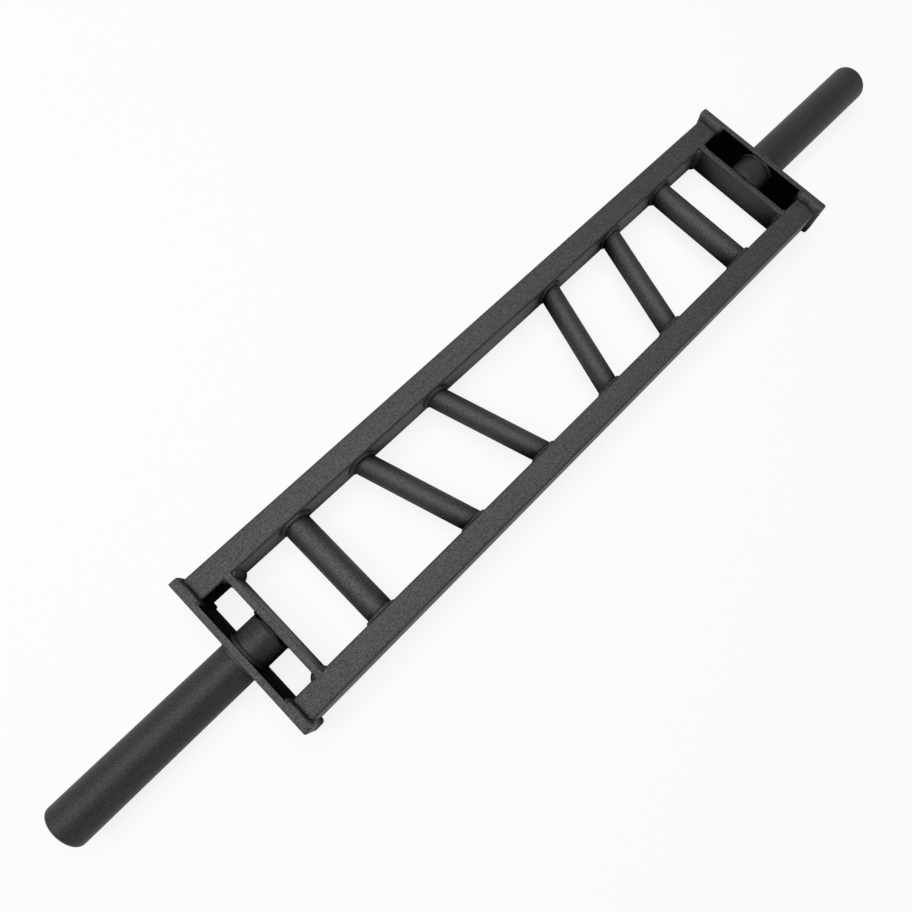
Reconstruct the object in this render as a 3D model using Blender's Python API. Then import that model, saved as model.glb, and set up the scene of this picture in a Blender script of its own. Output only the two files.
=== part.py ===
"""Swiss bar: a welded multi-grip barbell, modelled piece by piece.

Metres, +Z up. X runs along the bar, from the left sleeve to the right sleeve. Y runs across it, from the
front rail to the back rail. The origin is under the middle of the bar, on the surface that it rests on.
"""
import math

import bmesh
import bpy
from mathutils import Vector

# Distances along the bar, from its middle outwards
MIDDLE_TO_INNER_GRIP = 0.078
INNER_TO_MIDDLE_GRIP = 0.114
MIDDLE_TO_OUTER_GRIP = 0.118
OUTER_GRIP_TO_INNER_PLATE = 0.080
INNER_PLATE_THICKNESS = 0.008
STUB_LENGTH = 0.034
END_PLATE_THICKNESS = 0.008
SLEEVE_LENGTH = 0.215

# Grips: straight tubes across the clear span between the rails
GRIP_SPAN = 0.140
OUTER_GRIP_DIAMETER = 0.032
TILTED_GRIP_DIAMETER = 0.028
TILTED_GRIP_ANGLE = math.radians(16.7)
GRIP_WALL = 0.003

# Side rails: rectangular tube
RAIL_WIDTH = 0.030
RAIL_HEIGHT = 0.040
RAIL_WALL = 0.0025
RAIL_CORNER_RADIUS = 0.003

# Plates
END_PLATE_SIDE_LIP = 0.005
END_PLATE_TOP_MARGIN = 0.0025
END_PLATE_CORNER_RADIUS = 0.003
PLATE_EDGE_ROUNDING = 0.0008

# Loading sleeves: round tube, rounded at the rim and plugged
SLEEVE_DIAMETER = 0.050
SLEEVE_WALL = 0.006
SLEEVE_RIM_ROUNDING = 0.005
SLEEVE_RIM_LAND = 0.0005
PLUG_DEPTH = 0.012
PLUG_RECESS = 0.0005
PLUG_CHAMFER = 0.0008

# Weld beads: each leg is the bead's reach along one of the two surfaces that it joins
GRIP_WELD_LEG = 0.005
GRIP_WELD_FOOT = 0.004
RAIL_WELD_LEG = 0.0065
RAIL_WELD_FOOT = 0.0065
SLEEVE_WELD_LEG = 0.0045
INNER_PLATE_WELD_LEG = 0.0065
SEAM_WELD_WIDTH = 0.008
SEAM_WELD_HEIGHT = 0.0012
WELD_CROWN = 0.6
WELD_END_SCALE = 0.4
LEAST_WELD_LEG = 0.0005

# Clearance between pieces that touch, and the fineness of the round surfaces
FIT_GAP = 0.0003
SLEEVE_SEGMENTS = 48
GRIP_SEGMENTS = 32
CORNER_STEPS = 4
RIM_STEPS = 6
SEAM_STEPS = 6
SHARP_ANGLE = math.radians(35.0)

# Places worked out from the sizes above
INNER_GRIP_X = MIDDLE_TO_INNER_GRIP
MIDDLE_GRIP_X = INNER_GRIP_X + INNER_TO_MIDDLE_GRIP
OUTER_GRIP_X = MIDDLE_GRIP_X + MIDDLE_TO_OUTER_GRIP
INNER_PLATE_NEAR_X = OUTER_GRIP_X + OUTER_GRIP_TO_INNER_PLATE
INNER_PLATE_FAR_X = INNER_PLATE_NEAR_X + INNER_PLATE_THICKNESS
END_PLATE_NEAR_X = INNER_PLATE_FAR_X + STUB_LENGTH
END_PLATE_FAR_X = END_PLATE_NEAR_X + END_PLATE_THICKNESS
SLEEVE_TIP_X = END_PLATE_FAR_X + SLEEVE_LENGTH
RAIL_INNER_Y = GRIP_SPAN / 2
RAIL_CENTRE_Y = RAIL_INNER_Y + RAIL_WIDTH / 2
END_PLATE_WIDTH = GRIP_SPAN + 2 * RAIL_WIDTH + 2 * END_PLATE_SIDE_LIP
END_PLATE_HEIGHT = max(SLEEVE_DIAMETER, RAIL_HEIGHT) + 2 * END_PLATE_TOP_MARGIN
AXIS_HEIGHT = END_PLATE_HEIGHT / 2
SLEEVE_RADIUS = SLEEVE_DIAMETER / 2
BORE_RADIUS = SLEEVE_RADIUS - SLEEVE_WALL

SIDES = {"left": -1, "right": 1}
EDGES = {"front": -1, "back": 1}
GRIPS = {
    "outer": (OUTER_GRIP_X, OUTER_GRIP_DIAMETER, 0.0),
    "middle": (MIDDLE_GRIP_X, TILTED_GRIP_DIAMETER, TILTED_GRIP_ANGLE),
    "inner": (INNER_GRIP_X, TILTED_GRIP_DIAMETER, TILTED_GRIP_ANGLE),
}
AXIS_X = Vector((1.0, 0.0, 0.0))
AXIS_Y = Vector((0.0, 1.0, 0.0))
AXIS_Z = Vector((0.0, 0.0, 1.0))


def clear_scene():
    """Remove every object of the scene."""
    for old in list(bpy.data.objects):
        bpy.data.objects.remove(old, do_unlink=True)


def make_material(name, colour, roughness, metallic):
    """A plain finish with one colour."""
    material = bpy.data.materials.new(name)
    material.use_nodes = True
    shader = material.node_tree.nodes["Principled BSDF"]
    shader.inputs["Base Color"].default_value = (*colour, 1.0)
    shader.inputs["Roughness"].default_value = roughness
    shader.inputs["Metallic"].default_value = metallic
    material.diffuse_color = (*colour, 1.0)
    return material


def mesh_from_sections(name, sections, ring):
    """Skin a chain of equal closed sections: round into a ring, or with a cap at each end."""
    shape = bmesh.new()
    loops = []
    for section in sections:
        loops.append([shape.verts.new(point) for point in section])
    partners = loops[1:] + loops[:1] if ring else loops[1:]
    count = len(loops[0])
    for loop, partner in zip(loops, partners):
        for index in range(count):
            following = (index + 1) % count
            shape.faces.new((loop[index], loop[following], partner[following], partner[index]))
    if not ring:
        shape.faces.new(loops[0])
        shape.faces.new(loops[-1])
    bmesh.ops.recalc_face_normals(shape, faces=shape.faces)
    mesh = bpy.data.meshes.new(name)
    shape.to_mesh(mesh)
    shape.free()
    mesh.shade_smooth()
    mesh.set_sharp_from_angle(angle=SHARP_ANGLE)
    return mesh


def add_piece(name, mesh, material, location, bar):
    """Put a piece of the bar in the scene, placed from the bar's own axis."""
    piece = bpy.data.objects.new(name, mesh)
    piece.parent = bar
    piece.location = location
    if not mesh.materials:
        mesh.materials.append(material)
    bpy.context.scene.collection.objects.link(piece)
    return piece


def rounded_rectangle(width, height, radius):
    """Points and outward normals of a rectangle with round corners, in its own plane."""
    outline = []
    half_width = width / 2 - radius
    half_height = height / 2 - radius
    corners = ((half_width, half_height), (-half_width, half_height),
               (-half_width, -half_height), (half_width, -half_height))
    for corner, (centre_u, centre_v) in enumerate(corners):
        for step in range(CORNER_STEPS + 1):
            angle = (corner + step / CORNER_STEPS) * math.pi / 2
            normal = (math.cos(angle), math.sin(angle))
            outline.append(((centre_u + radius * normal[0], centre_v + radius * normal[1]), normal))
    return outline


def outline_across_bar(outline, x, offset=0.0):
    """An outline stood up in the plane across the bar at x, grown by an offset."""
    return [Vector((x, u + normal[0] * offset, v + normal[1] * offset)) for (u, v), normal in outline]


def circle_across_bar(x, radius, segments):
    """A circle round the bar's axis, in the plane across the bar at x."""
    points = []
    for index in range(segments):
        angle = 2 * math.pi * index / segments
        points.append(Vector((x, radius * math.cos(angle), radius * math.sin(angle))))
    return points


def bead_section(root, leg_way, leg, foot_way, foot):
    """A fillet weld's cross-section: its root, a toe on each surface and a crown between them."""
    toe = leg_way * leg
    heel = foot_way * foot
    return [root, root + toe, root + (toe + heel) * WELD_CROWN, root + heel]


def foot_within(foot, root, outward, half_width, half_height):
    """A weld's foot, shortened where it would reach past the flat of the face that it lies on."""
    rooms = (half_width - abs(root.y), half_height - abs(root.z))
    for slope, room in zip((abs(outward.y), abs(outward.z)), rooms):
        if slope * foot > room:
            foot = max(room / slope, LEAST_WELD_LEG)
    return foot


def rail_mesh():
    """A rectangular tube between the two end plates."""
    half_length = END_PLATE_NEAR_X - FIT_GAP
    outer = rounded_rectangle(RAIL_WIDTH, RAIL_HEIGHT, RAIL_CORNER_RADIUS)
    bore_radius = max(RAIL_CORNER_RADIUS - RAIL_WALL, FIT_GAP)
    inner = rounded_rectangle(RAIL_WIDTH - 2 * RAIL_WALL, RAIL_HEIGHT - 2 * RAIL_WALL, bore_radius)
    sections = [
        outline_across_bar(outer, -half_length),
        outline_across_bar(outer, half_length),
        outline_across_bar(inner, half_length),
        outline_across_bar(inner, -half_length),
    ]
    return mesh_from_sections("side_rail", sections, ring=True)


def end_plate_mesh():
    """A flat plate across the bar, with round corners and eased edges."""
    outline = rounded_rectangle(END_PLATE_WIDTH, END_PLATE_HEIGHT, END_PLATE_CORNER_RADIUS)
    half = END_PLATE_THICKNESS / 2
    sections = [
        outline_across_bar(outline, -half, -PLATE_EDGE_ROUNDING),
        outline_across_bar(outline, -half + PLATE_EDGE_ROUNDING),
        outline_across_bar(outline, half - PLATE_EDGE_ROUNDING),
        outline_across_bar(outline, half, -PLATE_EDGE_ROUNDING),
    ]
    return mesh_from_sections("end_plate", sections, ring=False)


def sleeve_hole_mesh():
    """The cylinder that cuts the sleeve's hole through an end plate."""
    radius = SLEEVE_RADIUS + FIT_GAP
    sections = [
        circle_across_bar(-END_PLATE_THICKNESS, radius, SLEEVE_SEGMENTS),
        circle_across_bar(END_PLATE_THICKNESS, radius, SLEEVE_SEGMENTS),
    ]
    return mesh_from_sections("sleeve_hole", sections, ring=False)


def inner_plate_mesh():
    """A flat bar between the rails, flush with their tops, that the sleeve butts against."""
    half_span = RAIL_INNER_Y - FIT_GAP
    outline = rounded_rectangle(INNER_PLATE_THICKNESS, RAIL_HEIGHT, PLATE_EDGE_ROUNDING)
    sections = []
    for y in (-half_span, half_span):
        sections.append([Vector((u, y, v)) for (u, v), _ in outline])
    return mesh_from_sections("inner_plate", sections, ring=False)


def sleeve_mesh(side):
    """A round tube from the inner plate, through the end plate, to its rounded rim."""
    butt = INNER_PLATE_FAR_X + FIT_GAP
    rounding = min(SLEEVE_RIM_ROUNDING, SLEEVE_WALL - SLEEVE_RIM_LAND)
    profile = [(butt, BORE_RADIUS), (butt, SLEEVE_RADIUS)]
    for step in range(RIM_STEPS + 1):
        angle = math.pi / 2 * step / RIM_STEPS
        x = SLEEVE_TIP_X - rounding + rounding * math.sin(angle)
        profile.append((x, SLEEVE_RADIUS - rounding + rounding * math.cos(angle)))
    profile.append((SLEEVE_TIP_X, BORE_RADIUS))
    sections = [circle_across_bar(side * x, radius, SLEEVE_SEGMENTS) for x, radius in profile]
    return mesh_from_sections("sleeve", sections, ring=True)


def plug_mesh(side):
    """A round plug that closes the sleeve's bore at the tip."""
    radius = BORE_RADIUS - FIT_GAP
    face = SLEEVE_TIP_X - PLUG_RECESS
    profile = (
        (SLEEVE_TIP_X - PLUG_DEPTH, radius),
        (face - PLUG_CHAMFER, radius),
        (face, radius - PLUG_CHAMFER),
    )
    sections = [circle_across_bar(side * x, size, SLEEVE_SEGMENTS) for x, size in profile]
    return mesh_from_sections("sleeve_plug", sections, ring=False)


def grip_frame(tilt):
    """A grip's direction, from front to back, and the level direction square to it."""
    along = Vector((math.sin(tilt), math.cos(tilt), 0.0))
    return along, along.cross(AXIS_Z)


def grip_point(angle, radius, tilt, y):
    """The point of a grip's surface at an angle round it, where it reaches the upright plane at y."""
    along, level = grip_frame(tilt)
    point = radius * (math.cos(angle) * level + math.sin(angle) * AXIS_Z)
    return point + along * ((y - point.y) / along.y)


def grip_angles():
    """The angles round a grip at which its tube and its welds have their corners."""
    return [2 * math.pi * index / GRIP_SEGMENTS for index in range(GRIP_SEGMENTS)]


def grip_mesh(diameter, tilt):
    """A round tube, cut at both ends to lie flat against the rails."""
    reach = RAIL_INNER_Y - FIT_GAP
    radius = diameter / 2
    sections = []
    bore = radius - GRIP_WALL
    for size, y in ((radius, -reach), (radius, reach), (bore, reach), (bore, -reach)):
        sections.append([grip_point(angle, size, tilt, y) for angle in grip_angles()])
    return mesh_from_sections("grip", sections, ring=True)


def grip_weld_mesh(diameter, tilt, edge):
    """A fillet weld all round a grip where it meets a rail."""
    along, _ = grip_frame(tilt)
    radius = diameter / 2 + FIT_GAP
    face = edge * (RAIL_INNER_Y - FIT_GAP)
    flat_half_height = RAIL_HEIGHT / 2 - RAIL_CORNER_RADIUS / 2
    sections = []
    for angle in grip_angles():
        root = grip_point(angle, radius, tilt, face)
        outward = grip_point(angle, 1.0, tilt, 0.0)
        outward.y = 0.0
        outward.normalize()
        foot = foot_within(GRIP_WELD_FOOT, root, outward, GRIP_SPAN, flat_half_height)
        sections.append(bead_section(root, along * -edge, GRIP_WELD_LEG, outward, foot))
    return mesh_from_sections("grip_weld", sections, ring=True)


def sleeve_weld_mesh(way):
    """A fillet weld all round a sleeve, where it passes through a plate; way is the free side."""
    flat_half_width = END_PLATE_WIDTH / 2 - PLATE_EDGE_ROUNDING
    flat_half_height = END_PLATE_HEIGHT / 2 - PLATE_EDGE_ROUNDING
    sections = []
    for index in range(SLEEVE_SEGMENTS):
        angle = 2 * math.pi * index / SLEEVE_SEGMENTS
        outward = math.cos(angle) * AXIS_Y + math.sin(angle) * AXIS_Z
        root = outward * (SLEEVE_RADIUS + FIT_GAP) + AXIS_X * way * FIT_GAP
        foot = foot_within(SLEEVE_WELD_LEG, root, outward, flat_half_width, flat_half_height)
        sections.append(bead_section(root, AXIS_X * way, SLEEVE_WELD_LEG, outward, foot))
    return mesh_from_sections("sleeve_weld", sections, ring=True)


def butt_weld_mesh(way, edge):
    """A fillet weld on one flank of the sleeve's inner end, as far up as the inner plate reaches."""
    radius = SLEEVE_RADIUS + FIT_GAP
    limit = math.atan2(RAIL_HEIGHT / 2, radius + SLEEVE_WELD_LEG)
    steps = SLEEVE_SEGMENTS // 4
    sections = []
    for index in range(steps + 1):
        angle = limit * (2 * index / steps - 1)
        outward = edge * math.cos(angle) * AXIS_Y + math.sin(angle) * AXIS_Z
        leg = SLEEVE_WELD_LEG * (WELD_END_SCALE if index in (0, steps) else 1.0)
        root = outward * radius + AXIS_X * way * FIT_GAP
        sections.append(bead_section(root, AXIS_X * way, leg, outward, leg))
    return mesh_from_sections("butt_weld", sections, ring=False)


def rail_weld_mesh(way):
    """A fillet weld all round a rail's end, where it meets an end plate; way points along the rail."""
    outline = rounded_rectangle(RAIL_WIDTH, RAIL_HEIGHT, RAIL_CORNER_RADIUS)
    flat_half_width = RAIL_WIDTH / 2 + END_PLATE_SIDE_LIP - PLATE_EDGE_ROUNDING
    flat_half_height = END_PLATE_HEIGHT / 2 - PLATE_EDGE_ROUNDING
    sections = []
    for (u, v), normal in outline:
        outward = Vector((0.0, normal[0], normal[1]))
        root = Vector((way * FIT_GAP, u, v)) + outward * FIT_GAP
        foot = foot_within(RAIL_WELD_FOOT, root, outward, flat_half_width, flat_half_height)
        sections.append(bead_section(root, AXIS_X * way, RAIL_WELD_LEG, outward, foot))
    return mesh_from_sections("rail_weld", sections, ring=True)


def upright_weld_mesh(way, edge):
    """An upright fillet weld in the corner between an inner plate's face and a rail."""
    half_height = RAIL_HEIGHT / 2 - RAIL_CORNER_RADIUS
    stations = (
        (-half_height, WELD_END_SCALE),
        (-half_height + INNER_PLATE_WELD_LEG, 1.0),
        (half_height - INNER_PLATE_WELD_LEG, 1.0),
        (half_height, WELD_END_SCALE),
    )
    sections = []
    for z, scale in stations:
        root = Vector((way * FIT_GAP, -edge * FIT_GAP, z))
        leg = INNER_PLATE_WELD_LEG * scale
        sections.append(bead_section(root, AXIS_X * way, leg, AXIS_Y * -edge, leg))
    return mesh_from_sections("upright_weld", sections, ring=False)


def seam_weld_mesh(level):
    """A low bead over the seam between an inner plate's edge and a rail; level is up or down."""
    half_length = INNER_PLATE_THICKNESS / 2
    base = FIT_GAP
    stations = (
        (-half_length, WELD_END_SCALE),
        (-half_length / 2, 1.0),
        (half_length / 2, 1.0),
        (half_length, WELD_END_SCALE),
    )
    sections = []
    for x, scale in stations:
        half_width = SEAM_WELD_WIDTH / 2 * scale
        section = []
        for step in range(SEAM_STEPS + 1):
            angle = math.pi * step / SEAM_STEPS
            height = base + SEAM_WELD_HEIGHT * scale * math.sin(angle)
            section.append(Vector((x, half_width * math.cos(angle), level * height)))
        sections.append(section)
    return mesh_from_sections("seam_weld", sections, ring=False)


def add_rails(bar, coat):
    """The two side rails."""
    mesh = rail_mesh()
    for edge_name, edge in EDGES.items():
        add_piece(f"side_rail_{edge_name}", mesh, coat, (0.0, edge * RAIL_CENTRE_Y, 0.0), bar)


def add_plates(bar, coat):
    """An end plate and an inner plate on each side."""
    end_mesh = end_plate_mesh()
    inner_mesh = inner_plate_mesh()
    hole_mesh = sleeve_hole_mesh()
    for side_name, side in SIDES.items():
        end_x = side * (END_PLATE_NEAR_X + END_PLATE_THICKNESS / 2)
        plate = add_piece(f"end_plate_{side_name}", end_mesh, coat, (end_x, 0.0, 0.0), bar)
        hole = add_piece(f"sleeve_hole_{side_name}", hole_mesh, coat, (end_x, 0.0, 0.0), bar)
        hole.hide_render = True
        hole.display_type = "WIRE"
        cut = plate.modifiers.new("sleeve_hole", "BOOLEAN")
        cut.operation = "DIFFERENCE"
        cut.solver = "EXACT"
        cut.object = hole
        inner_x = side * (INNER_PLATE_NEAR_X + INNER_PLATE_THICKNESS / 2)
        add_piece(f"inner_plate_{side_name}", inner_mesh, coat, (inner_x, 0.0, 0.0), bar)


def add_sleeves(bar, coat, plug_finish):
    """A loading sleeve and its plug on each side."""
    for side_name, side in SIDES.items():
        add_piece(f"sleeve_{side_name}", sleeve_mesh(side), coat, (0.0, 0.0, 0.0), bar)
        add_piece(f"sleeve_plug_{side_name}", plug_mesh(side), plug_finish, (0.0, 0.0, 0.0), bar)


def add_grips(bar, coat, weld_coat):
    """Three grips on each side, each welded to both rails. The tilted ones lean out at the back."""
    for grip_name, (x, diameter, tilt) in GRIPS.items():
        for side_name, side in SIDES.items():
            lean = side * tilt
            place = (side * x, 0.0, 0.0)
            name = f"grip_{grip_name}_{side_name}"
            add_piece(name, grip_mesh(diameter, lean), coat, place, bar)
            for edge_name, edge in EDGES.items():
                weld = grip_weld_mesh(diameter, lean, edge)
                add_piece(f"weld_{name}_{edge_name}", weld, weld_coat, place, bar)


def add_sleeve_welds(bar, coat):
    """Welds round each sleeve: on both faces of the end plate, and on the inner plate."""
    for side_name, side in SIDES.items():
        outside = (side * END_PLATE_FAR_X, 0.0, 0.0)
        inside = (side * END_PLATE_NEAR_X, 0.0, 0.0)
        butt = (side * INNER_PLATE_FAR_X, 0.0, 0.0)
        add_piece(f"weld_sleeve_outside_{side_name}", sleeve_weld_mesh(side), coat, outside, bar)
        add_piece(f"weld_sleeve_inside_{side_name}", sleeve_weld_mesh(-side), coat, inside, bar)
        for edge_name, edge in EDGES.items():
            name = f"weld_sleeve_butt_{side_name}_{edge_name}"
            add_piece(name, butt_weld_mesh(side, edge), coat, butt, bar)


def add_rail_welds(bar, coat):
    """A weld round each end of each rail."""
    for side_name, side in SIDES.items():
        for edge_name, edge in EDGES.items():
            place = (side * END_PLATE_NEAR_X, edge * RAIL_CENTRE_Y, 0.0)
            add_piece(f"weld_rail_{side_name}_{edge_name}", rail_weld_mesh(-side), coat, place, bar)


def add_inner_plate_welds(bar, coat):
    """Upright welds on both faces of each inner plate, and a seam above and below each of its ends."""
    for side_name, side in SIDES.items():
        faces = {"near": (INNER_PLATE_NEAR_X, -side), "far": (INNER_PLATE_FAR_X, side)}
        middle_x = side * (INNER_PLATE_NEAR_X + INNER_PLATE_THICKNESS / 2)
        for edge_name, edge in EDGES.items():
            for face_name, (x, way) in faces.items():
                place = (side * x, edge * RAIL_INNER_Y, 0.0)
                name = f"weld_plate_{face_name}_{side_name}_{edge_name}"
                add_piece(name, upright_weld_mesh(way, edge), coat, place, bar)
            for level_name, level in (("top", 1), ("bottom", -1)):
                place = (middle_x, edge * RAIL_INNER_Y, level * RAIL_HEIGHT / 2)
                name = f"weld_seam_{level_name}_{side_name}_{edge_name}"
                add_piece(name, seam_weld_mesh(level), coat, place, bar)


def build():
    """The whole bar, hung from an empty on its axis."""
    clear_scene()
    bar = bpy.data.objects.new("swiss_bar_axis", None)
    bar.location = (0.0, 0.0, AXIS_HEIGHT)
    bpy.context.scene.collection.objects.link(bar)
    frame_coat = make_material("frame_coat", (0.052, 0.052, 0.054), 0.55, 0.0)
    grip_coat = make_material("grip_coat", (0.045, 0.045, 0.046), 0.55, 0.0)
    sleeve_coat = make_material("sleeve_coat", (0.040, 0.040, 0.041), 0.50, 0.0)
    weld_coat = make_material("weld_coat", (0.055, 0.055, 0.056), 0.50, 0.0)
    plug_finish = make_material("plug_finish", (0.030, 0.030, 0.031), 0.60, 0.0)
    add_rails(bar, frame_coat)
    add_plates(bar, frame_coat)
    add_sleeves(bar, sleeve_coat, plug_finish)
    add_grips(bar, grip_coat, weld_coat)
    add_sleeve_welds(bar, weld_coat)
    add_rail_welds(bar, weld_coat)
    add_inner_plate_welds(bar, weld_coat)
    bpy.context.view_layer.update()


build()
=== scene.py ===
"""Looks of the welded swiss bar: powder-coated tubes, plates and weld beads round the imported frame.

Metres, in the frame's own axes: X along the bar, Y across it from the front rail to the back rail, Z up.
"""
import math

import bmesh
import bpy
from mathutils import Matrix, Vector, noise


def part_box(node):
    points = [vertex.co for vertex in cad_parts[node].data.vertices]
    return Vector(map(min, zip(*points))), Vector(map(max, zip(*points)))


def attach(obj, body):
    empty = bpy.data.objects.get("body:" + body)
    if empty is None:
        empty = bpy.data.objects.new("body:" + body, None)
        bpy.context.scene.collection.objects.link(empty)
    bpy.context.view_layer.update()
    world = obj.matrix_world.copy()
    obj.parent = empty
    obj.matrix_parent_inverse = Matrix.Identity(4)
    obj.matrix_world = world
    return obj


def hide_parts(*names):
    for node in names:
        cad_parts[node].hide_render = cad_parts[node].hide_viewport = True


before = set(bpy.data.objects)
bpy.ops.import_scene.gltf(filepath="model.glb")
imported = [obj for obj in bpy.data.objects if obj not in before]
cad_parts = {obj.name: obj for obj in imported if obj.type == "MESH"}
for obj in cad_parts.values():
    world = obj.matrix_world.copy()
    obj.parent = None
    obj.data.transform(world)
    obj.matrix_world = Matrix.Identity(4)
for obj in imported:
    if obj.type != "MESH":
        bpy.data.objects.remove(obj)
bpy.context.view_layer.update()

# Camera, fitted to the photograph
CAMERA_PLACE = Vector((-0.2710, -0.1763, 0.8484))
CAMERA_AIM = Vector((-0.0378, -0.0447, 0.0275))
CAMERA_ROLL = math.radians(46.848)
CAMERA_LENS = 28.913
CAMERA_SENSOR = 36.0
CAMERA_SHIFT = (-0.0921, -0.0318)

# Roundings and walls that the frame's boxes don't show
RAIL_CORNER_RADIUS = 0.003
RAIL_WALL = 0.0025
END_PLATE_CORNER_RADIUS = 0.003
PLATE_EDGE_ROUNDING = 0.0008
WELDED_EDGE_ROUNDING = 0.0003
SLEEVE_WALL = 0.006
SLEEVE_BUTT_CHAMFER = 0.0035
SLEEVE_RIM_ROUNDING = 0.0035
RIM_INNER_ROUNDING = 0.0006
PLUG_CHAMFER = 0.0008
GRIP_WALL = 0.003
GRIP_TILT = math.radians(16.7)

# Sizes of the weld beads: the leg lies along the tube or the rail, and the foot on what it is welded to
GRIP_WELD_LEG = 0.0038
GRIP_WELD_FOOT = 0.0045
RAIL_WELD_LEGS = {"left": 0.0042, "right": 0.0075}
RAIL_WELD_OUTER_LEG = 0.0065
SLEEVE_WELD_LEG = 0.0038
INNER_PLATE_WELD_LEG = 0.007
WIDE_PLATE_WELD_LEG = 0.009
NARROW_PLATE_WELD_LEG = 0.0045
LEAST_WELD_LEG = 0.0005
LEAST_SLOPE = 0.001
EDGE_MARGIN = 0.0001
FIT_GAP = 0.0003
ROOT_GAP = FIT_GAP / 3

# Shape of the weld beads: a shoulder of 1 is a straight slope and a shoulder of 2 a quarter round
BEAD_BULGE = 0.22
FLAT_BULGE = 0.10
TOP_SHOULDERS = {"left": 2.7, "right": 1.4}
SIDE_SHOULDER = 1.3
LEAST_FADE = 0.35
BUTT_FADE = 0.12
UPRIGHT_FADE = 0.10
SEAM_FADE = 0.35

# Ripples and unevenness of the weld beads
RIPPLE_PITCH = 0.0030
RIPPLE_HEIGHT = 0.00035
FLAT_RIPPLE = 0.00012
RIPPLE_CURVE = 0.9
RIPPLE_CREST = 0.8
RIPPLE_FALL = 8.0
RIPPLE_DIP = 0.8
LEG_WANDER = 0.22
WANDER_LENGTH = 0.012
WANDER_GAIN = 1.6
WANDER_MIDDLE = 0.5
SEED_STEP = 3.7
RING_FOOT_OFFSET = 50.0
LINE_FOOT_OFFSET = 185.0

# Seam beads
SEAM_HEIGHT = 0.00035
SEAM_SWAY = 0.0005
SEAM_SWAY_WAVES = 3
SEAM_LUMP = 0.2
SEAM_LUMP_WAVES = 4
SEAM_LUMPS_ACROSS = 3
SEAM_SEED_STEP = 3.1

# Fineness of the surfaces
SLEEVE_SEGMENTS = 128
GRIP_SEGMENTS = 96
PLATE_SEGMENTS = 160
CORNER_STEPS = 8
EDGE_STEPS = 3
RIM_STEPS = 10
BEAD_SPACING = 0.0006
BEAD_POINTS = 9
SEAM_STEPS = 28
SEAM_POINTS = 11
SHARP_ANGLE = math.radians(40.0)

# Texture of the powder coat
SPECKLE_ROUGHNESS = 0.7
SPECKLE_SPAN = (0.40, 0.62)
GLINT = 0.35
CLOUD_SCALE = 16.0
CLOUD_ROUGHNESS = 0.55
CLOUD_SPAN = (0.35, 0.75)
CLOUD_STRENGTH = 0.2
PEBBLE_RATIO = 1.3
PEBBLE_ROUGHNESS = 0.6
PEBBLE_SPAN = (0.3, 0.7)
ROUGHNESS_SPREAD = 0.07
NOISE_DETAIL = 3.0
COOL_TINT = 1.03

# Painted highlight along the coat's sharp edges
EDGE_WIDTH = 0.0012
EDGE_SAMPLES = 4
EDGE_SPAN = (0.72, 0.99)
EDGE_HIGHLIGHT_STRENGTH = 0.5

# Painted shade in creases, recesses and the end boxes, where the coat is also made matt
RECESS_SAMPLES = 6
RECESS_DEPTH = 0.055
RAIL_RECESS = (0.35, 0.68)
PLATE_RECESS = (0.45, 0.88)
SLEEVE_RECESS = (0.34, 0.74)
GRIP_RECESS = (0.55, 1.0)
WELD_RECESS = (0.48, 0.96)
# Colour and strength of the painted shade that darkens the coat in hollows
PAINTED_SHADE_COLOUR = (0.0008, 0.0008, 0.0009, 1.0)
PAINTED_SHADE_STRENGTH = 0.985
RECESS_ROUGHNESS = 0.95
RECESS_SHINE = 0.01
# Painted shade in tight creases: its reach, span and how dark it gets on each coat
CREASE_DEPTH = 0.002
CREASE_SPAN = (0.35, 0.85)
CREASE_SHADE = 0.3
GRIP_CREASE_SHADE = 0.95
WELD_CREASE_SHADE = 0.35
# Painted shade inside the end boxes, placed by position on plates, rails and welds
PLATE_BOX_SHADE = 0.99
WELD_BOX_SHADE = 0.3
BOX_EDGE = (0.0002, 0.0006)
MASK_SPAN = (0.0, 1.0)

# Studio
FLOOR_GREY = 0.35
FLOOR_SHOWN = 0.66
FLOOR_GLOW = 0.85
FLOOR_HALF = 30.0
FLOOR_ROUGHNESS = 0.9
FADE_START = 0.7
FADE_END = 2.2
WALL_TOP = math.radians(24.0)
WALL_SOFTNESS = 0.25
GAP_LEVEL = 0.05
FILL_LEVEL = 0.08
SOFTBOX_PLACE = Vector((-0.65, 0.55, 2.3))
SOFTBOX_AIM = Vector((-0.65, 0.55, 0.0))
SOFTBOX_SIZE = (3.9, 2.2)
SOFTBOX_POWER = 105.0
STRIP_PLACE = Vector((0.1, -2.2, 0.45))
STRIP_AIM = Vector((0.0, 0.0, 0.03))
STRIP_SIZE = (2.6, 0.35)
STRIP_POWER = 1.5
WHITE = (1.0, 1.0, 1.0, 1.0)

SIDES = {"left": -1, "right": 1}
EDGES = {"front": -1, "back": 1}
GRIPS = ("outer", "middle", "inner")
MIX_SOCKETS = {"FLOAT": (2, 3, 0), "RGBA": (6, 7, 2)}
AXIS_X = Vector((1.0, 0.0, 0.0))
AXIS_Y = Vector((0.0, 1.0, 0.0))
AXIS_Z = Vector((0.0, 0.0, 1.0))
ORIGIN = Vector((0.0, 0.0, 0.0))
TINY = 1e-9


def box_centre(node):
    """The middle of a CAD node's box."""
    low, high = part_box(node)
    return (low + high) / 2


def box_size(node):
    """The lengths of a CAD node's box along X, Y and Z."""
    low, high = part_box(node)
    return high - low


# Places and sizes read from the frame
AXIS_HEIGHT = box_centre("sleeve_left").z
RAIL_SIZE = box_size("side_rail_back")
RAIL_INNER_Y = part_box("side_rail_back")[0].y
END_PLATE_SIZE = box_size("end_plate_left")
END_PLATE_NEAR_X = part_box("end_plate_right")[0].x
END_PLATE_FAR_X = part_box("end_plate_right")[1].x
INNER_PLATE_NEAR_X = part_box("inner_plate_right")[0].x
INNER_PLATE_FAR_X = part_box("inner_plate_right")[1].x
SLEEVE_RADIUS = box_size("sleeve_left").y / 2


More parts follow.
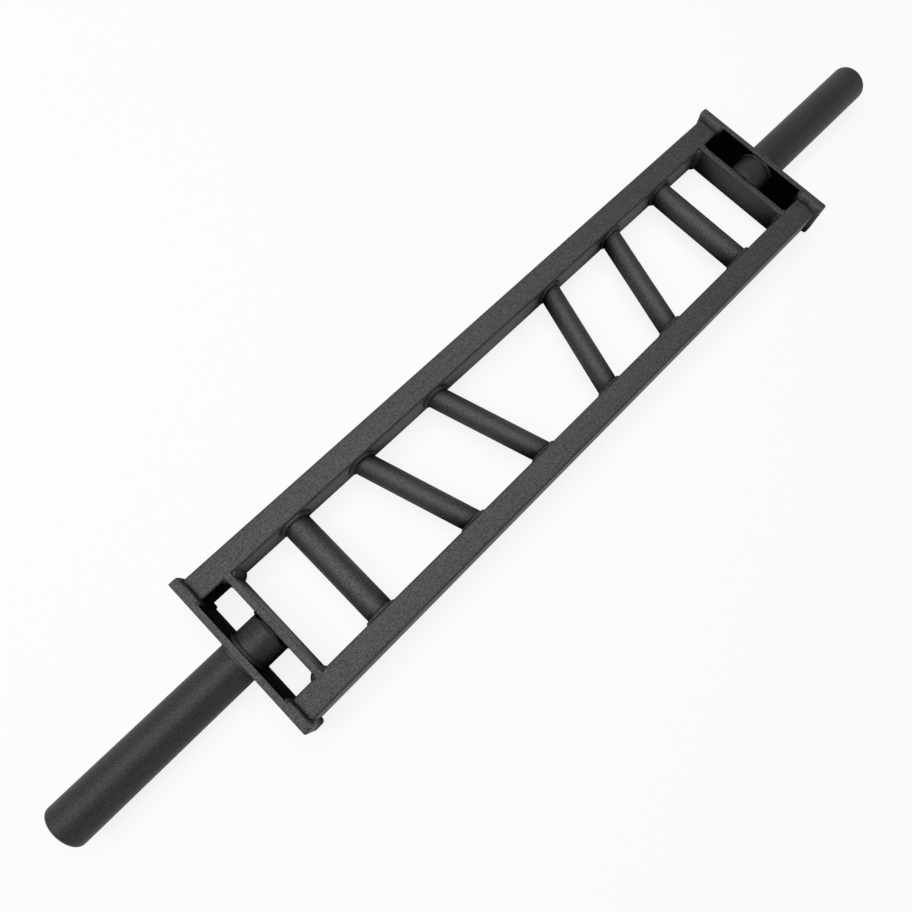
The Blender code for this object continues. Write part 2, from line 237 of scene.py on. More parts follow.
def link(name, vertices, faces):
    """A smooth-shaded mesh object made of these vertices and faces."""
    mesh = bpy.data.meshes.new(name)
    mesh.from_pydata([tuple(vertex) for vertex in vertices], [], faces)
    mesh.validate()
    mesh.shade_smooth()
    mesh.set_sharp_from_angle(angle=SHARP_ANGLE)
    piece = bpy.data.objects.new(name, mesh)
    bpy.context.scene.collection.objects.link(piece)
    return piece


def face_outwards(mesh):
    """Turn all faces to point out of the closed body."""
    shape = bmesh.new()
    shape.from_mesh(mesh)
    bmesh.ops.recalc_face_normals(shape, faces=shape.faces)
    shape.to_mesh(mesh)
    shape.free()


def skin(name, sections, ring):
    """Skin a chain of equal closed sections: round into a ring, or with a cap at each end."""
    count = len(sections[0])
    total = len(sections)
    vertices = [point for section in sections for point in section]
    faces = []
    for step in range(total if ring else total - 1):
        base = step * count
        ahead = ((step + 1) % total) * count
        for index in range(count):
            following = (index + 1) % count
            faces.append((base + index, base + following, ahead + following, ahead + index))
    if not ring:
        faces.append(tuple(range(count)))
        faces.append(tuple(range((total - 1) * count, total * count)))
    piece = link(name, vertices, faces)
    face_outwards(piece.data)
    return piece


def finish_piece(piece, node, material):
    """Put a piece on the bar in place of its CAD node, with its finish."""
    piece.data.materials.append(material)
    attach(piece, "root")
    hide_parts(node)


def rounded_rectangle(width, height, radius, steps):
    """Points and outward normals of a rectangle with round corners, in its own plane."""
    outline = []
    half_width = width / 2 - radius
    half_height = height / 2 - radius
    corners = ((half_width, half_height), (-half_width, half_height),
               (-half_width, -half_height), (half_width, -half_height))
    for corner, (centre_u, centre_v) in enumerate(corners):
        for step in range(steps + 1):
            angle = (corner + step / steps) * math.pi / 2
            normal = (math.cos(angle), math.sin(angle))
            outline.append(((centre_u + radius * normal[0], centre_v + radius * normal[1]), normal))
    return outline


def quarter_round(radius, steps):
    """Pairs of (distance in from the face, distance in from the edge) along a rounded edge."""
    pairs = []
    for step in range(steps + 1):
        angle = math.pi / 2 * step / steps
        pairs.append((radius * (1 - math.sin(angle)), radius * (1 - math.cos(angle))))
    return pairs


def circle(x, radius, segments):
    """A circle round the bar's axis at x."""
    points = []
    for index in range(segments):
        angle = 2 * math.pi * index / segments
        points.append(Vector((x, radius * math.cos(angle), AXIS_HEIGHT + radius * math.sin(angle))))
    return points


def make_rail(name):
    """A rectangular tube with round corners."""
    low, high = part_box(name)
    centre = (low + high) / 2
    width = high.y - low.y
    height = high.z - low.z
    inner_radius = RAIL_CORNER_RADIUS - RAIL_WALL
    outer = rounded_rectangle(width, height, RAIL_CORNER_RADIUS, CORNER_STEPS)
    inner = rounded_rectangle(width - 2 * RAIL_WALL, height - 2 * RAIL_WALL, inner_radius, CORNER_STEPS)
    sections = []
    for outline, x in ((outer, low.x), (outer, high.x), (inner, high.x), (inner, low.x)):
        sections.append([Vector((x, centre.y + u, centre.z + v)) for (u, v), _ in outline])
    return skin(f"coated_{name}", sections, ring=True)


def outline_reach(angle, half_width, half_height, radius):
    """How far a rectangle with round corners reaches from its centre, in the direction of an angle."""
    across = abs(math.cos(angle))
    up = abs(math.sin(angle))
    reach = min(half_width / max(across, TINY), half_height / max(up, TINY))
    corner_u = half_width - radius
    corner_v = half_height - radius
    if reach * across > corner_u and reach * up > corner_v:
        along = across * corner_u + up * corner_v
        reach = along + math.sqrt(max(along * along - corner_u ** 2 - corner_v ** 2 + radius ** 2, 0.0))
    return reach


def make_end_plate(name):
    """A flat plate across the bar with round corners, eased edges and the sleeve's hole."""
    low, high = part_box(name)
    centre = (low + high) / 2
    half_width = (high.y - low.y) / 2
    half_height = (high.z - low.z) / 2
    radius = END_PLATE_CORNER_RADIUS
    hole = SLEEVE_RADIUS + FIT_GAP
    angles = [2 * math.pi * index / PLATE_SEGMENTS for index in range(PLATE_SEGMENTS)]
    for (u, v), _ in rounded_rectangle(2 * half_width, 2 * half_height, radius, CORNER_STEPS):
        angles.append(math.atan2(v, u) % (2 * math.pi))
    angles = sorted(set(round(angle, 6) for angle in angles))

    def edge_loop(x, inset):
        points = []
        for angle in angles:
            reach = outline_reach(angle, half_width - inset, half_height - inset, radius - inset)
            points.append(Vector((x, centre.y + reach * math.cos(angle), centre.z + reach * math.sin(angle))))
        return points

    def hole_loop(x):
        points = []
        for angle in angles:
            points.append(Vector((x, hole * math.cos(angle), centre.z + hole * math.sin(angle))))
        return points

    near_edge = quarter_round(WELDED_EDGE_ROUNDING, EDGE_STEPS)
    far_edge = quarter_round(PLATE_EDGE_ROUNDING, EDGE_STEPS)
    low_edge, high_edge = (near_edge, far_edge) if centre.x > 0 else (far_edge, near_edge)
    sections = [hole_loop(low.x)]
    sections += [edge_loop(low.x + depth, inset) for depth, inset in reversed(low_edge)]
    sections += [edge_loop(high.x - depth, inset) for depth, inset in high_edge]
    sections.append(hole_loop(high.x))
    return skin(f"coated_{name}", sections, ring=True)


def make_inner_plate(name):
    """A flat bar between the rails with eased long edges."""
    low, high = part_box(name)
    centre = (low + high) / 2
    outline = rounded_rectangle(high.x - low.x, high.z - low.z, PLATE_EDGE_ROUNDING, EDGE_STEPS)
    sections = []
    for y in (low.y, high.y):
        sections.append([Vector((centre.x + u, y, centre.z + v)) for (u, v), _ in outline])
    return skin(f"coated_{name}", sections, ring=False)


def make_sleeve(name, side):
    """A round tube with a rounded rim at the tip and a chamfer where it butts on the inner plate."""
    low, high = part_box(name)
    butt = min(abs(low.x), abs(high.x))
    tip = max(abs(low.x), abs(high.x))
    bore = SLEEVE_RADIUS - SLEEVE_WALL
    profile = [(butt, bore), (butt, SLEEVE_RADIUS - SLEEVE_BUTT_CHAMFER)]
    profile.append((butt + SLEEVE_BUTT_CHAMFER, SLEEVE_RADIUS))
    for depth, inset in quarter_round(SLEEVE_RIM_ROUNDING, RIM_STEPS):
        profile.append((tip - depth, SLEEVE_RADIUS - inset))
    profile.append((tip, bore + RIM_INNER_ROUNDING))
    profile.append((tip - RIM_INNER_ROUNDING, bore))
    sections = [circle(side * x, radius, SLEEVE_SEGMENTS) for x, radius in profile]
    return skin(f"coated_{name}", sections, ring=True)


def make_plug(name, side):
    """A round plug in the sleeve's bore."""
    low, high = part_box(name)
    inner = min(abs(low.x), abs(high.x))
    face = max(abs(low.x), abs(high.x))
    radius = (high.y - low.y) / 2
    profile = ((inner, radius), (face - PLUG_CHAMFER, radius), (face, radius - PLUG_CHAMFER))
    sections = [circle(side * x, size, SLEEVE_SEGMENTS) for x, size in profile]
    return skin(f"coated_{name}", sections, ring=False)


def grip_place(name):
    """A grip's centre, radius and lean, read from its CAD node."""
    centre = box_centre(name)
    radius = box_size(name).z / 2
    tilt = 0.0 if "outer" in name else GRIP_TILT * (1 if centre.x > 0 else -1)
    return centre, radius, tilt


def grip_point(centre, angle, radius, tilt, y):
    """The point of a grip's surface at an angle round it, where it reaches the upright plane at y."""
    along = Vector((math.sin(tilt), math.cos(tilt), 0.0))
    level = along.cross(AXIS_Z)
    offset = radius * (math.cos(angle) * level + math.sin(angle) * AXIS_Z)
    return centre + offset + along * ((y - offset.y) / along.y)


def make_grip(name):
    """A round tube, cut at both ends to lie flat against the rails."""
    centre, radius, tilt = grip_place(name)
    reach = box_size(name).y / 2
    bore = radius - GRIP_WALL
    angles = [2 * math.pi * index / GRIP_SEGMENTS for index in range(GRIP_SEGMENTS)]
    sections = []
    for size, y in ((radius, -reach), (radius, reach), (bore, reach), (bore, -reach)):
        sections.append([grip_point(centre, angle, size, tilt, y) for angle in angles])
    return skin(f"coated_{name}", sections, ring=True)


def wander(share, length, ring, offset):
    """A slow random wave between about -1 and 1 along a weld. Round a ring it meets its own start."""
    if ring:
        turn = 2 * math.pi * share
        lap = length / (2 * math.pi)
        spot = Vector((math.cos(turn) * lap / WANDER_LENGTH, math.sin(turn) * lap / WANDER_LENGTH, offset))
    else:
        spot = Vector((share * length / WANDER_LENGTH, offset, 0.0))
    return noise.noise(spot) * WANDER_GAIN


def ripple(phase):
    """A ripple's height, as a share, over its length: a long rise to the crest and a short fall."""
    if phase < RIPPLE_CREST:
        return math.sqrt(phase) * 2 - 1
    return (1 - phase) * RIPPLE_FALL - RIPPLE_DIP


def across_bead(across, shoulder):
    """How far along the toe and the heel a bead's point lies, on a straight or a shouldered slope."""
    if shoulder is None:
        return 1 - across, across
    angle = math.pi / 2 * across
    return math.cos(angle) ** (2 / shoulder), math.sin(angle) ** (2 / shoulder)


def bead(name, stations, ring, seed, bulge=BEAD_BULGE, ripple_height=RIPPLE_HEIGHT, top_shoulder=None):
    """A rippled weld bead. Each station is (root, leg direction, leg, foot direction, foot).

    With a top shoulder the foot keeps its size, and the slope turns from the side shoulder to the top one
    as the weld goes round to the top or the underside.
    """
    # The length takes in the way back to the first station, for a line too
    length = sum((b[0] - a[0]).length for a, b in zip(stations, stations[1:] + stations[:1]))
    ripples = max(round(length / RIPPLE_PITCH), 1)
    leg_offset = seed * SEED_STEP
    foot_offset = leg_offset + (RING_FOOT_OFFSET if ring else LINE_FOOT_OFFSET)
    travelled = 0.0
    previous = stations[0][0]
    shoulder = None
    sections = []
    for root, leg_way, leg, foot_way, foot in stations:
        travelled += (root - previous).length
        previous = root
        share = travelled / length
        leg_drift = wander(share, length, ring, leg_offset) - WANDER_MIDDLE
        foot_drift = wander(share, length, ring, foot_offset) - WANDER_MIDDLE
        toe = leg_way * leg * (1 + LEG_WANDER * leg_drift)
        if top_shoulder:
            heel = foot_way * foot
            shoulder = SIDE_SHOULDER + (top_shoulder - SIDE_SHOULDER) * abs(foot_way.z)
        else:
            heel = foot_way * foot * (1 + LEG_WANDER * foot_drift)
        outward = (toe.normalized() + heel.normalized()).normalized()
        section = [root]
        for step in range(BEAD_POINTS):
            across = step / (BEAD_POINTS - 1)
            hump = math.sin(math.pi * across)
            phase = (ripples * share - RIPPLE_CURVE * hump) % 1.0
            rise = bulge * (leg + foot) / 2 * hump + ripple_height * hump * ripple(phase)
            run, climb = across_bead(across, shoulder)
            section.append(root + toe * run + heel * climb + outward * rise)
        sections.append(section)
    return skin(name, sections, ring)


def ring_steps(radius):
    """How many stations a weld round a tube has."""
    return int(2 * math.pi * radius / BEAD_SPACING)


def make_grip_weld(name, grip, edge, seed):
    """The weld all round a grip where it meets a rail."""
    centre, radius, tilt = grip_place(grip)
    along = Vector((math.sin(tilt), math.cos(tilt), 0.0))
    face = edge * (RAIL_INNER_Y - FIT_GAP)
    radius += ROOT_GAP
    limit = RAIL_SIZE.z / 2 - RAIL_CORNER_RADIUS / 2
    steps = ring_steps(radius)
    stations = []
    for index in range(steps):
        angle = 2 * math.pi * index / steps
        root = grip_point(centre, angle, radius, tilt, face)
        outward = grip_point(ORIGIN, angle, 1.0, tilt, 0.0)
        outward.y = 0.0
        outward.normalize()
        foot = GRIP_WELD_FOOT
        room = limit - abs(root.z - AXIS_HEIGHT)
        if abs(outward.z) * foot > room:
            foot = max(room / abs(outward.z), LEAST_WELD_LEG)
        stations.append((root, along * -edge, GRIP_WELD_LEG, outward, foot))
    return bead(name, stations, True, seed)


def make_sleeve_weld(name, x, way, seed):
    """The weld all round a sleeve where it passes through an end plate, thinner above and below."""
    steps = ring_steps(SLEEVE_RADIUS)
    flat_half_height = END_PLATE_SIZE.z / 2 - PLATE_EDGE_ROUNDING
    centre = Vector((x + way * ROOT_GAP, 0.0, AXIS_HEIGHT))
    stations = []
    for index in range(steps):
        angle = 2 * math.pi * index / steps
        outward = math.cos(angle) * AXIS_Y + math.sin(angle) * AXIS_Z
        root = centre + outward * (SLEEVE_RADIUS + ROOT_GAP)
        room = (flat_half_height - abs(root.z - AXIS_HEIGHT)) / max(abs(outward.z), LEAST_SLOPE)
        stations.append((root, AXIS_X * way, SLEEVE_WELD_LEG, outward, min(SLEEVE_WELD_LEG, room)))
    return bead(name, stations, True, seed)


def end_fade(share, rise):
    """How full a bead is at a share of its length: it tapers over the first and last stretch."""
    edge = min(share, 1 - share) / rise
    return LEAST_FADE + (1 - LEAST_FADE) * math.sqrt(min(max(edge, 0.0), 1.0))


def make_butt_weld(name, side, edge, seed):
    """The weld on one flank of the sleeve's inner end."""
    radius = SLEEVE_RADIUS + ROOT_GAP
    limit = math.atan2(RAIL_SIZE.z / 2, radius + SLEEVE_WELD_LEG)
    steps = int(2 * limit * radius / BEAD_SPACING)
    centre = Vector((side * (INNER_PLATE_FAR_X + ROOT_GAP), 0.0, AXIS_HEIGHT))
    stations = []
    for index in range(steps + 1):
        angle = limit * (2 * index / steps - 1)
        outward = edge * math.cos(angle) * AXIS_Y + math.sin(angle) * AXIS_Z
        leg = SLEEVE_WELD_LEG * end_fade(index / steps, BUTT_FADE)
        stations.append((centre + outward * radius, AXIS_X * side, leg, outward, leg))
    return bead(name, stations, False, seed)


def make_rail_weld(name, side, edge, top_leg, top_shoulder, seed):
    """The weld all round a rail's end, which runs out level with the end plate's edges."""
    outline = rounded_rectangle(RAIL_SIZE.y, RAIL_SIZE.z, RAIL_CORNER_RADIUS, CORNER_STEPS)
    rail_middle_y = RAIL_INNER_Y + RAIL_SIZE.y / 2
    half_width = END_PLATE_SIZE.y / 2 - rail_middle_y - EDGE_MARGIN
    half_height = END_PLATE_SIZE.z / 2 - EDGE_MARGIN
    centre = Vector((side * (END_PLATE_NEAR_X - ROOT_GAP), edge * rail_middle_y, AXIS_HEIGHT))
    stations = []
    for index, ((u, v), normal) in enumerate(outline):
        (next_u, next_v), next_normal = outline[(index + 1) % len(outline)]
        pieces = max(int(math.hypot(next_u - u, next_v - v) / BEAD_SPACING), 1)
        for piece in range(pieces):
            share = piece / pieces
            level = normal[0] + (next_normal[0] - normal[0]) * share
            up = normal[1] + (next_normal[1] - normal[1]) * share
            outward = Vector((0.0, level, up)).normalized()
            spot = Vector((0.0, u + (next_u - u) * share, v + (next_v - v) * share))
            room_beside = (half_width - abs(spot.y)) / max(abs(outward.y), LEAST_SLOPE)
            room_above = (half_height - abs(spot.z)) / max(abs(outward.z), LEAST_SLOPE)
            outer = max(outward.y * edge, 0.0)
            leg = top_leg + (RAIL_WELD_OUTER_LEG - top_leg) * outer
            root = centre + spot + outward * ROOT_GAP
            stations.append((root, -AXIS_X * side, leg, outward, min(room_beside, room_above)))
    return bead(name, stations, True, seed, 0.0, FLAT_RIPPLE, top_shoulder)


def make_upright_weld(name, x, way, edge, width, seed):
    """An upright weld in the corner between an inner plate's face and a rail."""
    half_height = RAIL_SIZE.z / 2 - RAIL_CORNER_RADIUS / 3
    steps = int(2 * half_height / BEAD_SPACING)
    stations = []
    for index in range(steps + 1):
        z = AXIS_HEIGHT - half_height + 2 * half_height * index / steps
        root = Vector((x + way * ROOT_GAP, edge * (RAIL_INNER_Y - ROOT_GAP), z))
        fade = end_fade(index / steps, UPRIGHT_FADE)
        stations.append((root, AXIS_X * way, width * fade, AXIS_Y * -edge, INNER_PLATE_WELD_LEG * fade))
    return bead(name, stations, False, seed, FLAT_BULGE)


def make_seam_weld(name, node, seed):
    """A low bead over the seam between an inner plate's edge and a rail."""
    low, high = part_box(node)
    centre = (low + high) / 2
    up = 1 if centre.z > AXIS_HEIGHT else -1
    base = low.z if up > 0 else high.z
    half_length = (high.x - low.x) / 2
    drift = seed * SEAM_SEED_STEP
    sections = []
    for index in range(SEAM_STEPS + 1):
        share = index / SEAM_STEPS
        fade = end_fade(share, SEAM_FADE)
        x = centre.x + (2 * share - 1) * half_length
        y = centre.y + SEAM_SWAY * noise.noise(Vector((share * SEAM_SWAY_WAVES, drift, 0.0)))
        half_width = (high.y - low.y) / 2 * fade
        section = []
        for step in range(SEAM_POINTS):
            across = step / (SEAM_POINTS - 1)
            angle = math.pi * across
            spot = Vector((share * SEAM_LUMP_WAVES, across * SEAM_LUMPS_ACROSS, drift))
            height = SEAM_HEIGHT * fade * math.sin(angle) * (1 + SEAM_LUMP * noise.noise(spot))
            section.append(Vector((x, y + half_width * math.cos(angle), base + up * height)))
        sections.append(section)
    return skin(name, sections, ring=False)


def new_material(name):
    """A node material, its tree and its shader."""
    material = bpy.data.materials.new(name)
    material.use_nodes = True
    tree = material.node_tree
    return material, tree, tree.nodes["Principled BSDF"]


def noise_value(tree, coordinates, scale, roughness):
    """A noise texture over these coordinates."""
    texture = tree.nodes.new("ShaderNodeTexNoise")
    texture.inputs["Scale"].default_value = scale
    texture.inputs["Detail"].default_value = NOISE_DETAIL
    texture.inputs["Roughness"].default_value = roughness
    tree.links.new(coordinates, texture.inputs["Vector"])
    return texture.outputs["Fac"]


def map_range(tree, value, low, high, out_low, out_high):
    """A value mapped from one range to another, and kept inside it."""
    node = tree.nodes.new("ShaderNodeMapRange")
    node.inputs["From Min"].default_value = low
    node.inputs["From Max"].default_value = high
    node.inputs["To Min"].default_value = out_low
    node.inputs["To Max"].default_value = out_high
    tree.links.new(value, node.inputs["Value"])
    return node.outputs["Result"]


def combine(tree, operation, first, second):
    """The greater, the product or another combination of two values."""
    node = tree.nodes.new("ShaderNodeMath")
    node.operation = operation
    tree.links.new(first, node.inputs[0])
    tree.links.new(second, node.inputs[1])
    return node.outputs["Value"]


def mix(tree, kind, factor, first, second):
    """A blend between two values or two colours, each given or a socket."""
    node = tree.nodes.new("ShaderNodeMix")
    node.data_type = kind
    first_socket, second_socket, result = MIX_SOCKETS[kind]
    tree.links.new(factor, node.inputs[0])
    for index, value in ((first_socket, first), (second_socket, second)):
        if isinstance(value, bpy.types.NodeSocket):
            tree.links.new(value, node.inputs[index])
        else:
            node.inputs[index].default_value = value
    return node.outputs[result]


def tint(tree, colour, target, value, span, strength=1.0):
    """A colour turned towards another as a value rises over a span, as far as a strength."""
    return mix(tree, "RGBA", map_range(tree, value, *span, 0.0, strength), colour, target)


def edge_highlight_mask(tree):
    """White along sharp edges, black on the flats: where the painted edge highlight goes."""
    bevel = tree.nodes.new("ShaderNodeBevel")
    bevel.samples = EDGE_SAMPLES
    bevel.inputs["Radius"].default_value = EDGE_WIDTH
    geometry = tree.nodes.new("ShaderNodeNewGeometry")
    dot = tree.nodes.new("ShaderNodeVectorMath")
    dot.operation = "DOT_PRODUCT"
    tree.links.new(bevel.outputs["Normal"], dot.inputs[0])
    tree.links.new(geometry.outputs["Normal"], dot.inputs[1])
    return map_range(tree, dot.outputs["Value"], *EDGE_SPAN, 1.0, 0.0)


def recess_mask(tree, distance, span):
    """White where neighbours within a distance close a surface in, black where it is open: where painted
    shade goes.
    """
    occlusion = tree.nodes.new("ShaderNodeAmbientOcclusion")
    occlusion.samples = RECESS_SAMPLES
    occlusion.inputs["Distance"].default_value = distance
    return map_range(tree, occlusion.outputs["AO"], *span, 1.0, 0.0)


def inside_box_mask(tree, coordinates):
    """White on the faces that look into an end box, black elsewhere: where the painted box shade goes."""
    absolute = tree.nodes.new("ShaderNodeVectorMath")
    absolute.operation = "ABSOLUTE"
    tree.links.new(coordinates, absolute.inputs[0])
    split = tree.nodes.new("ShaderNodeSeparateXYZ")
    tree.links.new(absolute.outputs["Vector"], split.inputs["Vector"])
    x = split.outputs["X"]
    y = split.outputs["Y"]
    near, far = BOX_EDGE
    past_inner = map_range(tree, x, INNER_PLATE_FAR_X - far, INNER_PLATE_FAR_X - near, 0.0, 1.0)
    before_end = map_range(tree, x, END_PLATE_NEAR_X + near, END_PLATE_NEAR_X + far, 1.0, 0.0)
    between_rails = map_range(tree, y, RAIL_INNER_Y + near, RAIL_INNER_Y + far, 1.0, 0.0)
    along = combine(tree, "MULTIPLY", past_inner, before_end)
    return combine(tree, "MULTIPLY", along, between_rails)


def grey(value):
    """A nearly neutral grey, a touch cool as the coat is."""
    return (value, value, value * COOL_TINT, 1.0)


def powder_coat(name, tones, roughness, shine, grain, bump, recess_span=PLATE_RECESS, box_shade=0.0,
                crease_shade=CREASE_SHADE):
    """Textured powder coat: speckled colour and gloss, pebbly bump, a painted highlight along sharp edges,
    and painted shade in creases, recesses and the end boxes, which are also made matt.

    The tones are those of the dark speckles, the light speckles and a lighter tone, which the cloudy tone
    variation drifts towards and the painted edge highlight takes.
    """
    dark, light, edge = (grey(tone) for tone in tones)
    material, tree, shader = new_material(name)
    coordinates = tree.nodes.new("ShaderNodeTexCoord").outputs["Object"]
    speckle = noise_value(tree, coordinates, grain, SPECKLE_ROUGHNESS)
    cloud = noise_value(tree, coordinates, CLOUD_SCALE, CLOUD_ROUGHNESS)
    pebble = noise_value(tree, coordinates, grain * PEBBLE_RATIO, PEBBLE_ROUGHNESS)
    # Painted shade in tight creases, placed by short-range ambient occlusion
    crease_shade_mask = recess_mask(tree, CREASE_DEPTH, CREASE_SPAN)
    # Painted shade in recesses, placed by ambient occlusion; the same mask also makes them matt
    recess_shade = recess_mask(tree, RECESS_DEPTH, recess_span)
    # Painted shade: faces inside the end boxes darkened and made matt by position
    if box_shade:
        box_shade_mask = map_range(tree, inside_box_mask(tree, coordinates), *MASK_SPAN, 0.0, box_shade)
        recess_shade = combine(tree, "MAXIMUM", recess_shade, box_shade_mask)

    colour = tint(tree, dark, light, speckle, SPECKLE_SPAN)
    colour = tint(tree, colour, edge, cloud, CLOUD_SPAN, CLOUD_STRENGTH)
    # Painted highlight: sharp edges lightened towards the third tone, as a sheen
    colour = tint(tree, colour, edge, edge_highlight_mask(tree), MASK_SPAN, EDGE_HIGHLIGHT_STRENGTH)
    # Painted shade along creases
    colour = tint(tree, colour, PAINTED_SHADE_COLOUR, crease_shade_mask, MASK_SPAN, crease_shade)
    # Painted shade: colour darkened towards near black in recesses and inside the end boxes
    colour = tint(tree, colour, PAINTED_SHADE_COLOUR, recess_shade, MASK_SPAN, PAINTED_SHADE_STRENGTH)
    tree.links.new(colour, shader.inputs["Base Color"])

    sheen = map_range(tree, pebble, *PEBBLE_SPAN, roughness + ROUGHNESS_SPREAD, roughness - ROUGHNESS_SPREAD)
    tree.links.new(mix(tree, "FLOAT", recess_shade, sheen, RECESS_ROUGHNESS), shader.inputs["Roughness"])
    glint = map_range(tree, speckle, *SPECKLE_SPAN, shine * (1 - GLINT), shine * (1 + GLINT))
    tree.links.new(mix(tree, "FLOAT", recess_shade, glint, RECESS_SHINE), shader.inputs["Specular IOR Level"])
    # The exported model drops the link and takes this value
    shader.inputs["Specular IOR Level"].default_value = shine

    relief = tree.nodes.new("ShaderNodeBump")
    relief.inputs["Strength"].default_value = 1.0
    relief.inputs["Distance"].default_value = bump
    tree.links.new(pebble, relief.inputs["Height"])
    tree.links.new(relief.outputs["Normal"], shader.inputs["Normal"])
    return material


def make_materials():
    """One finish for each slot of the record."""
    return {
        "rail_coat": powder_coat(
            "rail_powder_coat", tones=(0.004, 0.020, 0.024), roughness=0.60, shine=0.55, grain=680.0,
            bump=0.00020, recess_span=RAIL_RECESS, box_shade=PLATE_BOX_SHADE),
        "plate_coat": powder_coat(
            "plate_powder_coat", tones=(0.004, 0.022, 0.024), roughness=0.60, shine=0.57, grain=680.0,
            bump=0.00020, box_shade=PLATE_BOX_SHADE),
        "grip_coat": powder_coat(
            "grip_powder_coat", tones=(0.003, 0.010, 0.013), roughness=0.56, shine=0.57, grain=680.0,
            bump=0.00018, recess_span=GRIP_RECESS, crease_shade=GRIP_CREASE_SHADE),
        "sleeve_coat": powder_coat(
            "sleeve_powder_coat", tones=(0.012, 0.024, 0.034), roughness=0.48, shine=0.235, grain=760.0,
            bump=0.00012, recess_span=SLEEVE_RECESS),
        "weld_coat": powder_coat(
            "weld_powder_coat", tones=(0.005, 0.022, 0.030), roughness=0.58, shine=0.54, grain=680.0,
            bump=0.00012, recess_span=WELD_RECESS, box_shade=WELD_BOX_SHADE, crease_shade=WELD_CREASE_SHADE),
        "plug_finish": powder_coat(
            "plug_powder_coat", tones=(0.006, 0.022, 0.030), roughness=0.62, shine=0.25, grain=560.0,
            bump=0.00020),
    }


def dress_tubes_and_plates(finishes):
    """The rails, plates, sleeves, plugs and grips."""
    for edge_name in EDGES:
        node = f"side_rail_{edge_name}"
        finish_piece(make_rail(node), node, finishes["rail_coat"])
    for side_name, side in SIDES.items():
        node = f"end_plate_{side_name}"
        finish_piece(make_end_plate(node), node, finishes["plate_coat"])
        node = f"inner_plate_{side_name}"
        finish_piece(make_inner_plate(node), node, finishes["plate_coat"])
        node = f"sleeve_{side_name}"
        finish_piece(make_sleeve(node, side), node, finishes["sleeve_coat"])
        node = f"sleeve_plug_{side_name}"
        finish_piece(make_plug(node, side), node, finishes["plug_finish"])
        for grip in GRIPS:
            node = f"grip_{grip}_{side_name}"
            finish_piece(make_grip(node), node, finishes["grip_coat"])


def dress_welds(finish):
    """Every weld bead, each with its own ripples."""
    widths = {("near", "back"): WIDE_PLATE_WELD_LEG, ("near", "front"): NARROW_PLATE_WELD_LEG}
    made = []
    for side_name, side in SIDES.items():
        for edge_name, edge in EDGES.items():
            corner = f"{side_name}_{edge_name}"
            for grip in GRIPS:
                node = f"weld_grip_{grip}_{corner}"
                grip_node = f"grip_{grip}_{side_name}"
                made.append((make_grip_weld(f"bead_{node}", grip_node, edge, len(made)), node))
            node = f"weld_sleeve_butt_{corner}"
            made.append((make_butt_weld(f"bead_{node}", side, edge, len(made)), node))
            node = f"weld_rail_{corner}"
            shape = (RAIL_WELD_LEGS[side_name], TOP_SHOULDERS[side_name])
            made.append((make_rail_weld(f"bead_{node}", side, edge, *shape, len(made)), node))
            for face, x, way in (("near", INNER_PLATE_NEAR_X, -side), ("far", INNER_PLATE_FAR_X, side)):
                node = f"weld_plate_{face}_{corner}"
                width = widths.get((face, edge_name), INNER_PLATE_WELD_LEG)
                made.append((make_upright_weld(f"bead_{node}", side * x, way, edge, width, len(made)), node))
            for level in ("top", "bottom"):
                node = f"weld_seam_{level}_{corner}"
                made.append((make_seam_weld(f"bead_{node}", node, len(made)), node))
        node = f"weld_sleeve_outside_{side_name}"
        made.append((make_sleeve_weld(f"bead_{node}", side * END_PLATE_FAR_X, side, len(made)), node))
        node = f"weld_sleeve_inside_{side_name}"
        made.append((make_sleeve_weld(f"bead_{node}", side * END_PLATE_NEAR_X, -side, len(made)), node))
    for piece, node in made:
        finish_piece(piece, node, finish)


def seen_directly(tree):
    """1 for camera, glossy and transmission rays, and 0 for the rays that light the bar."""
    path = tree.nodes.new("ShaderNodeLightPath")
    seen = combine(tree, "MAXIMUM", path.outputs["Is Camera Ray"], path.outputs["Is Glossy Ray"])
    return combine(tree, "MAXIMUM", seen, path.outputs["Is Transmission Ray"])


def make_world():
    """Studio walls that show white up to a height, a darker gap above them, and a dim fill light."""
    world = bpy.data.worlds.new("studio")
    world.use_nodes = True
    tree = world.node_tree
    background = tree.nodes["Background"]
    background.inputs["Color"].default_value = WHITE
    split = tree.nodes.new("ShaderNodeSeparateXYZ")
    tree.links.new(tree.nodes.new("ShaderNodeTexCoord").outputs["Generated"], split.inputs["Vector"])
    wall_edge = math.sin(WALL_TOP)
    walls = map_range(tree, split.outputs["Z"], wall_edge, wall_edge + WALL_SOFTNESS, 1.0, GAP_LEVEL)
    strength = mix(tree, "FLOAT", seen_directly(tree), FILL_LEVEL, walls)
    tree.links.new(strength, background.inputs["Strength"])
    bpy.context.scene.world = world


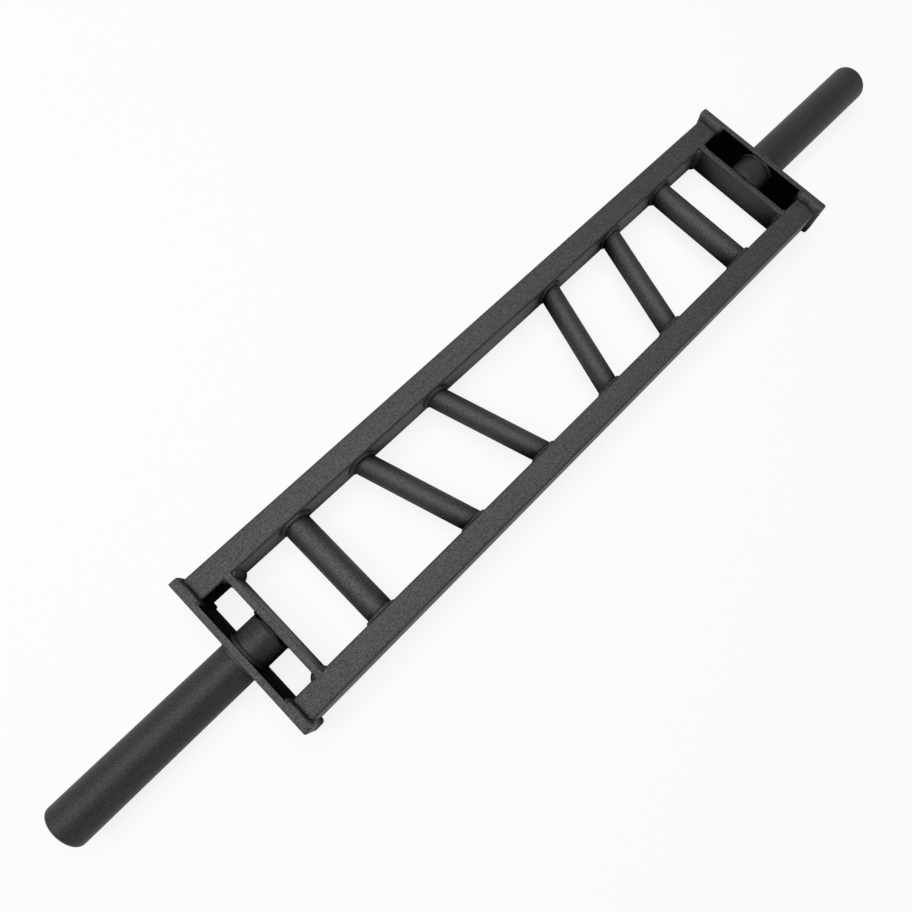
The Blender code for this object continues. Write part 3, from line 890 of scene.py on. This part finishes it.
def make_floor():
    """A pale floor that shows near white, keeps a light shadow and fades to plain white far out."""
    corners = [Vector((x * FLOOR_HALF, y * FLOOR_HALF, 0.0)) for x, y in ((-1, -1), (1, -1), (1, 1), (-1, 1))]
    floor = link("studio_floor", corners, [(0, 1, 2, 3)])
    material, tree, shader = new_material("studio_floor_paint")
    seen = seen_directly(tree)
    paint = mix(tree, "RGBA", seen, (FLOOR_GREY,) * 3 + (1.0,), (FLOOR_SHOWN,) * 3 + (1.0,))
    tree.links.new(paint, shader.inputs["Base Color"])
    shader.inputs["Roughness"].default_value = FLOOR_ROUGHNESS
    shader.inputs["Specular IOR Level"].default_value = 0.0
    glow = tree.nodes.new("ShaderNodeEmission")
    glow.inputs["Color"].default_value = WHITE
    distance = tree.nodes.new("ShaderNodeVectorMath")
    distance.operation = "LENGTH"
    tree.links.new(tree.nodes.new("ShaderNodeTexCoord").outputs["Object"], distance.inputs[0])
    far = map_range(tree, distance.outputs["Value"], FADE_START, FADE_END, FLOOR_GLOW, 1.0)
    share = combine(tree, "MULTIPLY", seen, far)
    surface = tree.nodes.new("ShaderNodeMixShader")
    tree.links.new(share, surface.inputs[0])
    tree.links.new(shader.outputs["BSDF"], surface.inputs[1])
    tree.links.new(glow.outputs["Emission"], surface.inputs[2])
    tree.links.new(surface.outputs["Shader"], tree.nodes["Material Output"].inputs["Surface"])
    floor.data.materials.append(material)


def add_softbox(name, place, aim, size, power):
    """A soft rectangular lamp."""
    light = bpy.data.lights.new(name, "AREA")
    light.shape = "RECTANGLE"
    light.size, light.size_y = size
    light.energy = power
    lamp = bpy.data.objects.new(name, light)
    lamp.location = place
    lamp.rotation_euler = (aim - place).to_track_quat("-Z", "Y").to_euler()
    bpy.context.scene.collection.objects.link(lamp)


def make_lights():
    """A broad lamp overhead, to the left and the back of the bar, and a weak low strip in front."""
    add_softbox("overhead_softbox", SOFTBOX_PLACE, SOFTBOX_AIM, SOFTBOX_SIZE, SOFTBOX_POWER)
    add_softbox("front_strip", STRIP_PLACE, STRIP_AIM, STRIP_SIZE, STRIP_POWER)


def make_camera():
    """The camera at the photograph's viewing angle."""
    data = bpy.data.cameras.new("photo_camera")
    data.sensor_width = CAMERA_SENSOR
    data.lens = CAMERA_LENS
    data.shift_x, data.shift_y = CAMERA_SHIFT
    camera = bpy.data.objects.new("photo_camera", data)
    look = (CAMERA_AIM - CAMERA_PLACE).normalized()
    level = (AXIS_Y - look * AXIS_Y.dot(look)).normalized()
    across = look.cross(level)
    up = level * math.cos(CAMERA_ROLL) + across * math.sin(CAMERA_ROLL)
    right = look.cross(up)
    turn = Matrix((right, up, -look)).transposed().to_4x4()
    camera.matrix_world = Matrix.Translation(CAMERA_PLACE) @ turn
    bpy.context.scene.collection.objects.link(camera)
    bpy.context.scene.camera = camera


bpy.context.scene.view_settings.view_transform = "Standard"
make_camera()
make_world()
make_floor()
make_lights()
finishes = make_materials()
dress_tubes_and_plates(finishes)
dress_welds(finishes["weld_coat"])

bpy.context.view_layer.update()
